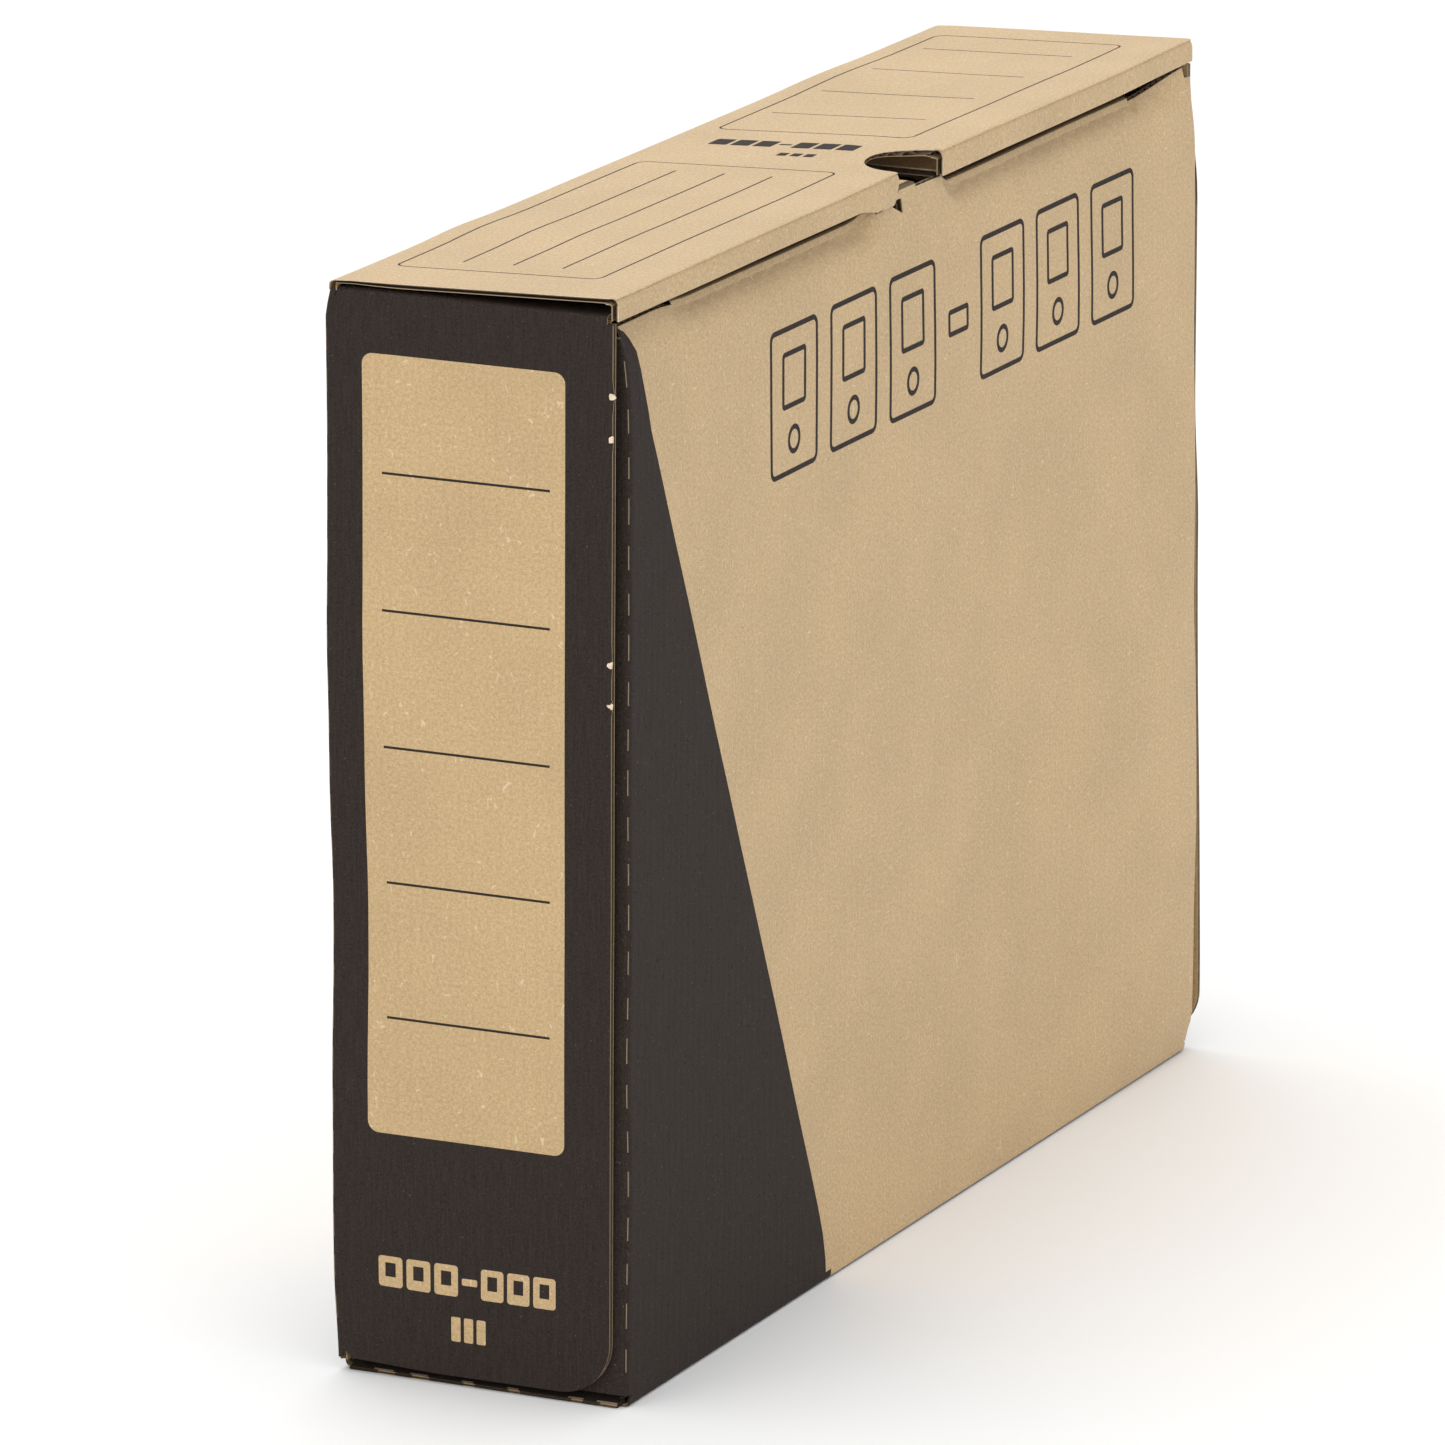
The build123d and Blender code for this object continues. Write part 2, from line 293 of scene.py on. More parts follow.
def box_signs(start, low, high, gap, line):
    """A row of outlined upright boxes, each with a label and a round hole, and one lying dash."""
    shapes = []
    left = start
    for width in [SIGN_WIDTH] * 3 + [DASH_WIDTH] + [SIGN_WIDTH] * 3:
        right = left + width
        if width == DASH_WIDTH:
            level = (low + high) / 2
            shapes += frame_line(
                left, level - DASH_HALF_HEIGHT, right, level + DASH_HALF_HEIGHT, 1.2, line
            )
        else:
            margin = width * 0.25
            hole = (left + right) / 2
            shapes += frame_line(left, low, right, high, 2.6, line)
            shapes += frame_line(
                left + margin, low + 16, right - margin, high - 6.0, 1.4, line
            )
            shapes += frame_line(
                hole - HOLE_RADIUS, low + 4.6, hole + HOLE_RADIUS, low + 11.8,
                HOLE_RADIUS - 0.01, line
            )
        left = right + gap
    return shapes


def blob(a, b, radius):
    """A small uneven patch."""
    points = []
    for step in range(9):
        angle = math.radians(40 * step)
        reach = radius * (1 + 0.35 * ripple(a + step * 1.7, b * 0.7, 5))
        points.append((a + reach * math.cos(angle), b + reach * math.sin(angle)))
    return points


def spine_print():
    """A bare label window with lines, two rows of plain marks below it, and the torn bridges."""
    shapes = [(rounded(-28.0, 60.0, 22.7, 247.3, 2.7), 0)]
    for level in (219.0, 186.3, 153.6, 121.0, 88.3):
        shapes.append((rectangle(-23.2, level - 0.3, 18.9, level + 0.3), 1))
    left = -25.6
    for width in (6.0, 6.0, 6.0, 4.0, 6.0, 6.0, 6.0):
        if width < 5:
            shapes.append((rounded(left, 25.2, left + width, 26.9, 0.4), 0))
        else:
            shapes.append((rounded(left, 22.2, left + width, 29.8, 0.8), 0))
            shapes.append((rectangle(left + 1.7, 24.7, left + width - 1.7, 28.2), 1))
        left += width + 1.0
    for left in (-7.4, -4.1, -0.8):
        shapes.append((rounded(left, 11.2, left + 2.4, 17.2, 0.4), 0))
    edge = box("spine_outer_flap_outer_liner")[1].x
    return shapes + [(blob(edge - 0.35, level, 0.8), TORN) for level in NICKS]


def wedge():
    """The dark corner of the side faces, with rounded top and foot."""
    return [
        (-180.0, 0.0), (-56.8, 0.0), (-57.2, 6.0), (-58.9, 13.0), (-61.6, 20.0),
        (-65.0, 28.0), (-110.0, 129.8), (-155.4, 231.6), (-158.6, 242.5),
        (-160.4, 251.5), (-161.2, 255.5), (-162.5, 258.0), (-164.8, 259.2), (-180.0, 259.4),
    ]


def side_print():
    """The dark corner, and a row of signs."""
    return [(wedge(), 1)] + box_signs(-90, 205.5, 241.5, 7.0, 1.3)


def lid_print():
    """Two framed fields with lines, and two rows of plain marks between them."""
    shapes = frame_line(-30.0, -151.6, 23.0, -19.0, 3.0, 0.55)
    for across in (-16.2, -3.2, 9.5):
        shapes.append((rectangle(across - 0.27, -143.0, across + 0.27, -28.0), 1))
    shapes += frame_line(-30.0, 23.6, 23.0, 156.7, 3.0, 0.55)
    for along in (47.0, 76.5, 107.0, 138.0):
        shapes.append((rectangle(-25.5, along - 0.27, 16.0, along + 0.27), 1))
    left = -23.5
    for width in (5.0, 5.0, 5.0, 3.4, 5.0, 5.0, 5.0):
        thin = width < 4
        low, high = (7.9, 9.3) if thin else (5.2, 12.0)
        shapes.append((rounded(left, low, left + width, high, 0.5), 1))
        left += width + 0.95
    for left in (-1.0, 2.6, 6.2):
        shapes.append((rounded(left, -4.0, left + 2.6, -0.6, 0.3), 1))
    return shapes


# ---------------------------------------------------------------- papers

def face_of(node, axis, sign):
    """The outer face of a board, as a function from (a, b) on its outline to a point."""
    low, high = box(node)
    level = high[axis] if sign > 0 else low[axis]
    lean = LEAN_SLOPE if node.startswith("side") else 0.0

    def place(a, b):
        if axis == X:
            return Vector((level - lean * max(0, b - LEAN_START), a, b))
        if axis == Y:
            return Vector((a, level, b))
        return Vector((a, b, level))

    return place


def flat(point, axis):
    """The two coordinates of a point that lie in the plane across an axis."""
    return tuple(point[i] for i in (X, Y, Z) if i != axis)


def outline_loops(node, axis, sign):
    """The edges of a CAD liner's outer face, as closed loops of (a, b)."""
    mesh = frame["nodes"][node].data
    count = {}
    for face in mesh.polygons:
        if face.normal[axis] * sign < 0.5:
            continue
        keys = [tuple(round(c / MM, 3) for c in mesh.vertices[v].co) for v in face.vertices]
        for start, end in zip(keys, keys[1:] + keys[:1]):
            if start == end:
                continue
            if (end, start) in count:
                del count[(end, start)]
            else:
                count[(start, end)] = True
    follow = {}
    for start, end in count:
        follow.setdefault(start, []).append(end)
    loops = []
    while follow:
        first = next(iter(follow))
        loop = [first]
        current = first
        while True:
            ends = follow[current]
            nearest = ends.pop()
            if not ends:
                del follow[current]
            if nearest == first:
                break
            loop.append(nearest)
            current = nearest
        loops.append([flat(p, axis) for p in loop])
    return loops


END_LEVELS = (3.0, 6.5, 10.5, 15.0, 21.0)


def levels(low, high, longest):
    """Levels from low to high, closer together near both ends, where the boards bend most."""
    close = [d for d in END_LEVELS if d < (high - low) / 2 - 3]
    if not close:
        return [low, (low + high) / 2, high]
    start, end = low + close[-1], high - close[-1]
    parts = max(1, math.ceil((end - start) / longest))
    middle = [start + (end - start) * i / parts for i in range(1, parts)]
    return [low] + [low + d for d in close] + middle + [high - d for d in close[::-1]] + [high]


def divided(loop, longest):
    """A loop with its long edges divided."""
    points = []
    for (a0, b0), (a1, b1) in zip(loop, loop[1:] + loop[:1]):
        parts = max(1, math.ceil(math.hypot(a1 - a0, b1 - b0) / longest))
        for part in range(parts):
            t = part / parts
            points.append((a0 + (a1 - a0) * t, b0 + (b1 - b0) * t))
    return points


def inset(loop, distance):
    """A loop moved sideways into the board, by the same distance all round."""
    moved = []
    count = len(loop)
    for i, (a, b) in enumerate(loop):
        before, after = loop[i - 1], loop[(i + 1) % count]
        first = Vector((b - before[1], before[0] - a)).normalized()
        second = Vector((after[1] - b, a - after[0])).normalized()
        side = first + second
        side *= distance / max(side.length_squared / 2, 0.4)
        moved.append((a + side.x, b + side.y))
    return moved


def inside(points, loop):
    """For each point, whether it lies inside the loop."""
    a, b = points[:, 0], points[:, 1]
    result = np.zeros(len(points), bool)
    for (a0, b0), (a1, b1) in zip(loop, loop[1:] + loop[:1]):
        if b0 == b1:
            continue
        crosses = (b0 > b) != (b1 > b)
        result ^= crosses & (a < (a1 - a0) * (b - b0) / (b1 - b0) + a0)
    return result


def finish_mesh(name, points, faces, ink, raw, across, rest=None, smooth_angle=40):
    """A mesh object from points in millimetres, with the values that the materials read."""
    mesh = bpy.data.meshes.new(name)
    mesh.from_pydata([Vector(p) * MM for p in points], [], faces)
    # the ink share holds print, and painted shade in creases, slits and between the papers
    for key, values, domain in (("ink", ink, "FACE"), ("raw", raw, "FACE"),
                                ("across", across, "POINT")):
        attribute = mesh.attributes.new(key, "FLOAT", domain)
        attribute.data.foreach_set("value", np.array(values, np.float32))
    attribute = mesh.attributes.new("rest", "FLOAT_VECTOR", "POINT")
    rest = points if rest is None else rest
    attribute.data.foreach_set("vector", np.array(rest, np.float32).ravel())
    mesh.validate()
    mesh.polygons.foreach_set("use_smooth", [True] * len(mesh.polygons))
    mesh.set_sharp_from_angle(angle=math.radians(smooth_angle))
    if name.endswith("fluting_paper"):
        mesh.materials.append(FLUTING_PAPER)
    else:
        mesh.materials.append(BARE_PAPER)
        mesh.materials.append(INK_AND_SHADE_PAPER)
        mesh.polygons.foreach_set("material_index", [material_of(value) for value in ink])
    piece = bpy.data.objects.new(name, mesh)
    bpy.context.scene.collection.objects.link(piece)
    return piece


def rim_tone(board, point):
    """How pale a cut rim is: on an outer flap it is palest round the curved corner."""
    if board.endswith("outer_flap"):
        return 1.0 - 0.55 * ease(12, 30, point[1])
    return 1.0


def material_of(ink):
    """Which of a paper's two materials a face takes."""
    return 1 if ink > 0.5 else 0


def on_fold(point, folds):
    """Whether a point of the outline lies along a side that runs on into a fold."""
    return any(abs(point[axis] - level) < RIM * 1.3 for axis, level in folds)


AROUND_SLOT = range(-38, 27, 3)

# ink and torn share of a paper's cut edge
EDGE_TONES = {"outer": (0.0, 0.7), "inner": (0.55, 0.25), "inked": (0.75, 0.3)}


def paper_grid(board, side, axis, sign, prints, base_ink, folds):
    """The flat triangles of a paper, with the ink and the torn share of each one."""
    outlines = outline_loops(board + "_outer_liner", axis, sign)
    loops = [divided(loop, GRID_STEP / 2) for loop in outlines]
    rims = [inset(loop, RIM) for loop in loops] if side == "outer" else []
    points, edges = [], []
    for loop in loops + rims + [divided(shape, GRID_STEP) for shape, _ in prints]:
        first = len(points)
        points += loop
        edges += [(first + i, first + (i + 1) % len(loop)) for i in range(len(loop))]
    border = np.array([p for loop in loops for p in loop])
    low, high = border.min(0), border.max(0)
    grid = [levels(low[i], high[i], GRID_STEP)[1:-1] for i in (0, 1)]
    if axis != Y:
        i = 0 if axis == X else 1
        grid[i] += [level for level in AROUND_SLOT if low[i] < level < high[i]]
    points += [(a, b) for a in grid[0] for b in grid[1]]
    made = delaunay_2d_cdt([Vector(p) for p in points], edges, [], 0, 1e-4)
    flat_points = np.array([tuple(p) for p in made[0]])
    triangles = np.array([tuple(f) for f in made[2]])
    centres = flat_points[triangles].mean(1)
    kept = np.zeros(len(centres), bool)
    middle = np.zeros(len(centres), bool)
    for loop in loops:
        kept ^= inside(centres, loop)
    for loop in rims:
        middle ^= inside(centres, loop)
    ink = np.full(len(centres), float(base_ink))
    for shape, value in prints:
        ink[inside(centres, shape)] = value
    raw = np.zeros(len(centres))
    if rims:
        for i in np.nonzero(kept & ~middle)[0]:
            if not on_fold(centres[i], folds):
                raw[i] = rim_tone(board, centres[i])
    raw[ink == TORN] = 1.0
    ink[ink == TORN] = 0.5
    triangles, ink, raw = triangles[kept], ink[kept], raw[kept]
    ink *= 1 - 0.45 * raw
    used = np.unique(triangles)
    renumber = np.full(len(flat_points), -1)
    renumber[used] = np.arange(len(used))
    return flat_points[used], renumber[triangles], ink, raw


def liner(board, side, axis, sign, flute_axis, prints, base_ink, folds):
    """One flat paper of a board, cut to its CAD outline, with its print and its pale rim."""
    node = board + "_" + side + "_liner"
    flat_points, triangles, ink, raw = paper_grid(
        board, side, axis, sign, prints, base_ink, folds
    )
    total = len(flat_points)
    directed = {}
    for owner, face in enumerate(triangles.tolist()):
        for start, end in zip(face, face[1:] + face[:1]):
            directed[(start, end)] = owner
    walls = [edge for edge in directed if (edge[1], edge[0]) not in directed]

    place = face_of(board + "_outer_liner", axis, sign)
    away = Vector((0, 0, 0))
    away[axis] = sign
    turn = [place(*flat_points[i]) for i in triangles[0]]
    front_is_out = (turn[1] - turn[0]).cross(turn[2] - turn[0]).dot(away) > 0
    depth = 0.0 if side == "outer" else BOARD - LINER
    rest, faces = [], []
    for level in (depth, depth + LINER):
        for a, b in flat_points:
            rest.append(place(a, b) - away * level)
    for a, b, c in triangles.tolist():
        front = (a, b, c) if front_is_out else (a, c, b)
        back = tuple(total + i for i in reversed(front))
        faces += [front, back]
    for start, end in walls:
        if front_is_out:
            faces.append((end, start, start + total, end + total))
        else:
            faces.append((start, end, end + total, start + total))

    inks, raws = [], []
    for value, torn in zip(ink, raw):
        # painted shade: the faces between two papers are painted dark, for the deep shade there
        inks += [value, 0.8] if side == "outer" else [0.8, 0.0]
        raws += [torn, 0.0]
    for start, end in walls:
        tone = EDGE_TONES["inked" if base_ink and side == "outer" else side]
        if on_fold((flat_points[start] + flat_points[end]) / 2, folds):
            tone = (ink[directed[(start, end)]], 0.0)
        inks.append(tone[0])
        raws.append(tone[1])
    across = [p[flute_axis] for p in rest]
    placed = [bend(p, GROUPS.get(BODY_OF[node], "carton")) for p in rest]
    piece = finish_mesh(node + "_paper", placed, faces, inks, raws, across, rest)
    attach(piece, BODY_OF[node])
    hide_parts(node)
    return piece


def fluting(board, along):
    """The waved paper of a board: the CAD waves, divided along the flutes and bent."""
    node = board + "_fluting"
    group = GROUPS.get(BODY_OF[node], "carton")
    work = bmesh.new()
    work.from_mesh(frame["nodes"][node].data)
    bmesh.ops.remove_doubles(work, verts=work.verts, dist=1e-7)
    low, high = box(node)
    normal = Vector((0, 0, 0))
    normal[along] = 1
    for distance in levels(low[along], high[along], 18.0)[1:-1]:
        everything = work.verts[:] + work.edges[:] + work.faces[:]
        bmesh.ops.bisect_plane(work, geom=everything, plane_co=normal * distance * MM,
                               plane_no=normal)
    rest = [v.co / MM for v in work.verts]
    work.verts.index_update()
    faces = [[v.index for v in face.verts] for face in work.faces]
    work.free()
    placed = [bend(p, group) for p in rest]
    zeros = [0.0] * len(faces)
    piece = finish_mesh(node + "_paper", placed, faces, zeros, zeros,
                        [0.0] * len(rest), rest, 50)
    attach(piece, BODY_OF[node])
    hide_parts(node)
    return piece


def turned(start, start_way, end, end_way, steps, reach):
    """Points of a fold's section, from one board's edge to the other's."""
    points = []
    first_reach, second_reach = reach
    for step in range(steps + 1):
        t = step / steps
        a, b = start + start_way * first_reach, end + end_way * second_reach
        points.append(
            start * (1 - t) ** 3 + a * 3 * t * (1 - t) ** 2 + b * 3 * t * t * (1 - t)
            + end * t ** 3
        )
    return points


def even(value):
    """The ink of a fold that has the same ink all over; as a core or inner share it is painted
    shade.
    """
    return lambda along, t: value


def fold_strip(name, shared, edges, ink, cuts, steps, reach, depth=0.0, step=4.0):
    """A paper that runs across a fold. Its section lies in the plane across the axis."""
    bodies, node, axis, span, ways, end_raw = shared
    first, second = [i for i in (X, Y, Z) if i != axis]
    start, end = (Vector(edge) for edge in edges)
    start_way, end_way = (Vector(way) for way in ways)

    def solid(section_point, along):
        p = Vector((0, 0, 0))
        p[axis] = along
        p[first], p[second] = section_point
        return p

    if reach is None:
        sharp = (end - start).length * 0.64
        reach = (sharp, sharp)
    section = turned(start, start_way, end, end_way, steps, reach)
    inward = -(start_way + end_way).normalized()
    sides = []
    sense = 0
    for i in range(steps + 1):
        before, after = section[max(i - 1, 0)], section[min(i + 1, steps)]
        tangent = (after - before).normalized()
        side = Vector((tangent.y, -tangent.x))
        if sense == 0:
            sense = 1 if side.dot(inward) > 0 else -1
        sides.append(side * sense)
    if abs(start_way.dot(end_way)) < 0.4:
        # at about a right angle, the ends stand square on the two boards
        sides[0] = end_way * -1
        sides[-1] = start_way * -1
    stops = sorted({*span, *(level for cut in cuts for level in cut)})
    rows = []
    for low, high in zip(stops, stops[1:]):
        parts = max(1, math.ceil((high - low) / step))
        rows += [low + (high - low) * i / parts for i in range(parts)]
    rows.append(stops[-1])
    across = steps + 1
    rest = []
    for thickness in (depth, depth + LINER):
        for along in rows:
            for p, side in zip(section, sides):
                rest.append(solid(p + side * thickness, along))
    total = len(rest) // 2
    middle_cell = steps // 2

    def in_cut(row):
        centre = (rows[row] + rows[row + 1]) / 2
        return any(low < centre < high for low, high in cuts)

    cells = {
        (row, cell)
        for row in range(len(rows) - 1)
        for cell in range(steps)
        if cell != middle_cell or not in_cut(row)
    }
    faces, inks, raws = [], [], []
    for row, cell in sorted(cells):
        i = row * across + cell
        quad = (i, i + 1, i + 1 + across, i + across)
        value = ink(rows[row], cell / steps)
        torn = 0.3 if cell == middle_cell + 1 and in_cut(row) else 0.0
        faces += [quad, tuple(total + k for k in reversed(quad))]
        inks += [value * (1 - torn), value if depth else 0.0]
        raws += [torn, 0.0]
        neighbours = (
            ((row - 1, cell), (i + 1, i)),
            ((row + 1, cell), (i + across, i + across + 1)),
            ((row, cell - 1), (i, i + across)),
            ((row, cell + 1), (i + 1 + across, i + 1)),
        )
        for neighbour, (a, b) in neighbours:
            if neighbour not in cells:
                faces.append((a, b, b + total, a + total))
                inks.append(1.0 - end_raw)
                raws.append(end_raw)
    probe = [rest[i] for i in faces[0]]
    facing = (probe[1] - probe[0]).cross(probe[3] - probe[0])
    if facing.dot(solid(inward, 0.0)) > 0:
        faces = [tuple(reversed(f)) for f in faces]
    piece = finish_mesh(name, rest, faces, inks, raws, [p[axis] for p in rest])
    if len(bodies) == 2:
        solid(start, 0.0) * MM
        solid(end, 0.0) * MM
        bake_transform(piece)
    group_a, group_b = (GROUPS.get(body, "carton") for body in (bodies[0], bodies[-1]))
    for i, (vertex, p) in enumerate(zip(piece.data.vertices, rest)):
        t = (i % across) / steps
        place = bend(p, group_a) * (1 - t) + bend(p, group_b) * t
        if group_b == "inner_flap":
            place.x -= LEAN_SLOPE * max(0.0, p.z - LEAN_START) * (1 - t)
        vertex.co = place * MM
    if len(bodies) == 1:
        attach(piece, bodies[0])
    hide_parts(node)
    return piece


def fold(name, bodies, node, axis, span, outer, inner, ways, ink, cuts=(), reach=None,
         end_raw=0.4, core_shade=even(0.0), inner_shade=even(0.0)):
    """The outer and the inner paper across a fold, from the edges of the two boards."""
    shared = (bodies, node, axis, span, ways, end_raw)
    steps = 18 if cuts else 10
    fold_strip(name + "_outer_fold", shared, outer, ink, cuts, steps, reach)
    if cuts:
        # the middle of the board, which shows through the cuts, with painted shade inside them
        # where its share is dark
        fold_strip(name + "_core_fold", shared, outer, core_shade, (), steps, reach, 0.35, 1.5)
    # the inner paper, with painted shade where its share is dark
    fold_strip(name + "_inner_fold", shared, inner, inner_shade, (), 8, None)


# ---------------------------------------------------------------- materials

class Nodes:
    """Short ways to add and join shader nodes."""

    def __init__(self, name):
        self.material = bpy.data.materials.new(name)
        self.material.use_nodes = True
        self.tree = self.material.node_tree
        self.shader = self.tree.nodes["Principled BSDF"]

    def put(self, socket, value):
        if isinstance(value, bpy.types.NodeSocket):
            self.tree.links.new(value, socket)
        else:
            socket.default_value = value

    def attribute(self, name, output="Fac"):
        node = self.tree.nodes.new("ShaderNodeAttribute")
        node.attribute_name = name
        return node.outputs[output]

    def math(self, operation, a, b=0.0, clamp=False):
        node = self.tree.nodes.new("ShaderNodeMath")
        node.operation = operation
        node.use_clamp = clamp
        self.put(node.inputs[0], a)
        self.put(node.inputs[1], b)
        return node.outputs[0]

    def grey(self, value):
        node = self.tree.nodes.new("ShaderNodeCombineColor")
        for socket in node.inputs:
            self.put(socket, value)
        return node.outputs[0]

    def scaled(self, vector, scale):
        node = self.tree.nodes.new("ShaderNodeVectorMath")
        node.operation = "MULTIPLY"
        self.put(node.inputs[0], vector)
        node.inputs[1].default_value = scale
        return node.outputs[0]

    def noise(self, vector, scale, detail=2.0, roughness=0.5, distortion=0.0):
        node = self.tree.nodes.new("ShaderNodeTexNoise")
        self.put(node.inputs["Vector"], vector)
        node.inputs["Scale"].default_value = scale
        node.inputs["Detail"].default_value = detail
        node.inputs["Roughness"].default_value = roughness
        node.inputs["Distortion"].default_value = distortion
        return node.outputs["Fac"]

    def ramp(self, value, low, high, low_result=0.0, high_result=1.0):
        node = self.tree.nodes.new("ShaderNodeMapRange")
        node.interpolation_type = "SMOOTHSTEP"
        self.put(node.inputs["Value"], value)
        node.inputs["From Min"].default_value = low
        node.inputs["From Max"].default_value = high
        node.inputs["To Min"].default_value = low_result
        node.inputs["To Max"].default_value = high_result
        return node.outputs["Result"]

    def mix(self, share, a, b, kind="MIX"):
        node = self.tree.nodes.new("ShaderNodeMix")
        node.data_type = "RGBA"
        node.blend_type = kind
        self.put(node.inputs["Factor"], share)
        colour_a, colour_b = node.inputs[6], node.inputs[7]
        self.put(colour_a, a)
        self.put(colour_b, b)
        return node.outputs[2]

    def bump(self, height, strength, distance, normal=None):
        node = self.tree.nodes.new("ShaderNodeBump")
        node.inputs["Strength"].default_value = strength
        node.inputs["Distance"].default_value = distance
        self.put(node.inputs["Height"], height)
        if normal is not None:
            self.put(node.inputs["Normal"], normal)
        return node.outputs["Normal"]


KRAFT = (0.515, 0.352, 0.176, 1)
KRAFT_LIGHT = (0.76, 0.60, 0.40, 1)
KRAFT_DARK = (0.22, 0.135, 0.065, 1)
RAW_EDGE = (0.78, 0.66, 0.49, 1)
INK = (0.0165, 0.0112, 0.0088, 1)
INK_THIN = (0.048, 0.036, 0.030, 1)
INK_DEEP = (0.008, 0.006, 0.005, 1)
INK_SPECK = (0.21, 0.185, 0.16, 1)
# the waves' own browner paper, made darker as painted shade between the liners
WAVE_DARK = (0.13, 0.086, 0.05, 1)
WAVE_PALE = (0.19, 0.13, 0.078, 1)
WAVE_FLECK = (0.3, 0.22, 0.14, 1)


def kraft_colour(n, rest):
    """Recycled kraft: slow clouds, fine formation, dark and light flecks and fibres."""
    clouds = n.ramp(n.noise(rest, 0.03, 3.0), 0.3, 0.7, 0.95, 1.04)
    formation = n.ramp(n.noise(rest, 1.2, 4.0, 0.7), 0.28, 0.72, 0.83, 1.16)
    grain = n.ramp(n.noise(rest, 3.4, 2.0, 0.65), 0.3, 0.7, 0.84, 1.16)
    tone = n.math("MULTIPLY", n.math("MULTIPLY", clouds, formation), grain)
    colour = n.mix(1.0, KRAFT, n.grey(tone), "MULTIPLY")
    tint = n.ramp(n.noise(n.scaled(rest, (1.0, 1.0, 0.35)), 0.8, 2.0), 0.35, 0.65)
    colour = n.mix(n.math("MULTIPLY", tint, 0.35), colour,
                   n.mix(1.0, colour, (0.96, 1.0, 0.90, 1), "MULTIPLY"))
    dark = n.ramp(n.noise(rest, 1.7, 2.0, 0.55), 0.655, 0.73, 0.0, 0.65)
    colour = n.mix(dark, colour, KRAFT_DARK)
    for stretch, limit in (((0.5, 1.9, 0.35), 0.69), ((1.9, 0.4, 1.6), 0.69)):
        fibre = n.ramp(n.noise(n.scaled(rest, stretch), 1.0, 1.0, 0.5, 1.4),
                       limit, limit + 0.06, 0.0, 0.55)
        colour = n.mix(fibre, colour, KRAFT_LIGHT)
    return colour


def washboard_of(n, rest):
    """Faint lines of the flutes showing through the liner, stronger in some places."""
    wave = n.math("SINE", n.math("MULTIPLY", n.attribute("across"), 2 * math.pi / FLUTE_PITCH))
    patch = n.ramp(n.noise(rest, 0.08, 2.0), 0.35, 0.65, 0.3, 1.0)
    return n.math("MULTIPLY", wave, patch)


def shaded(n, colour, washboard, strength):
    shade = n.math("MULTIPLY_ADD", washboard, strength)
    shade.node.inputs[2].default_value = 1.0
    return n.mix(1.0, colour, n.grey(shade), "MULTIPLY")


def bare_paper():
    """Bare kraft liner, paler along its cut edges."""
    n = Nodes("bare_kraft_liner")
    rest = n.attribute("rest", "Vector")
    washboard = washboard_of(n, rest)
    colour = shaded(n, kraft_colour(n, rest), washboard, 0.014)
    torn = n.math("MULTIPLY", n.attribute("raw"), n.ramp(n.noise(rest, 0.7, 3.0), 0.3, 0.6, 0.35))
    colour = n.mix(torn, colour, RAW_EDGE)
    n.put(n.shader.inputs["Base Color"], colour)
    n.shader.inputs["Roughness"].default_value = 0.62
    n.shader.inputs["Specular IOR Level"].default_value = 0.45
    n.shader.inputs["Sheen Weight"].default_value = 0.12
    n.shader.inputs["Sheen Roughness"].default_value = 0.6
    normal = n.bump(washboard, 0.35, 0.00002)
    n.put(n.shader.inputs["Normal"],
          n.bump(n.noise(rest, 2.4, 4.0, 0.65), 0.5, 0.00008, normal))
    return n.material


def ink_and_shade_paper():
    """Liner under brown-black print, with streaks along the flutes and pinholes; the same dark
    also paints shade in creases, slits and between the papers.
    """
    n = Nodes("ink_and_painted_shade_liner")
    rest = n.attribute("rest", "Vector")
    washboard = washboard_of(n, rest)
    mottle = n.ramp(n.noise(rest, 1.1, 5.0, 0.75), 0.30, 0.72)
    streak = n.ramp(n.noise(n.scaled(rest, (1.9, 1.9, 0.12)), 1.0, 3.0, 0.6), 0.35, 0.7)
    thin = n.math("MULTIPLY_ADD", streak, 0.22)
    n.put(thin.node.inputs[2], n.math("MULTIPLY", mottle, 0.6))
    ink = n.mix(thin, INK, INK_THIN)
    deep = n.ramp(n.noise(rest, 1.1, 3.0, 0.6), 0.58, 0.7, 0.0, 0.8)
    ink = shaded(n, n.mix(deep, ink, INK_DEEP), washboard, 0.035)
    speck = n.ramp(n.noise(rest, 1.5, 2.0, 0.6), 0.67, 0.76, 0.0, 0.45)
    fine = n.ramp(n.noise(rest, 3.6, 2.0, 0.6), 0.58, 0.75, 0.0, 0.28)
    ink = n.mix(n.math("MAXIMUM", speck, fine), ink, INK_SPECK)
    # the ink share is print, and painted shade in creases, slits and between the papers
    bare_share = n.math("SUBTRACT", 1.0, n.attribute("ink"))
    colour = n.mix(bare_share, ink, kraft_colour(n, rest))
    colour = n.mix(n.math("MULTIPLY", n.attribute("raw"), 0.9), colour, RAW_EDGE)
    n.put(n.shader.inputs["Base Color"], colour)
    n.put(n.shader.inputs["Roughness"], n.ramp(mottle, 0.0, 1.0, 0.6, 0.75))
    n.shader.inputs["Specular IOR Level"].default_value = 0.12
    normal = n.bump(washboard, 0.35, 0.00003)
    n.put(n.shader.inputs["Normal"],
          n.bump(n.noise(rest, 2.4, 4.0, 0.65), 0.4, 0.00006, normal))
    return n.material


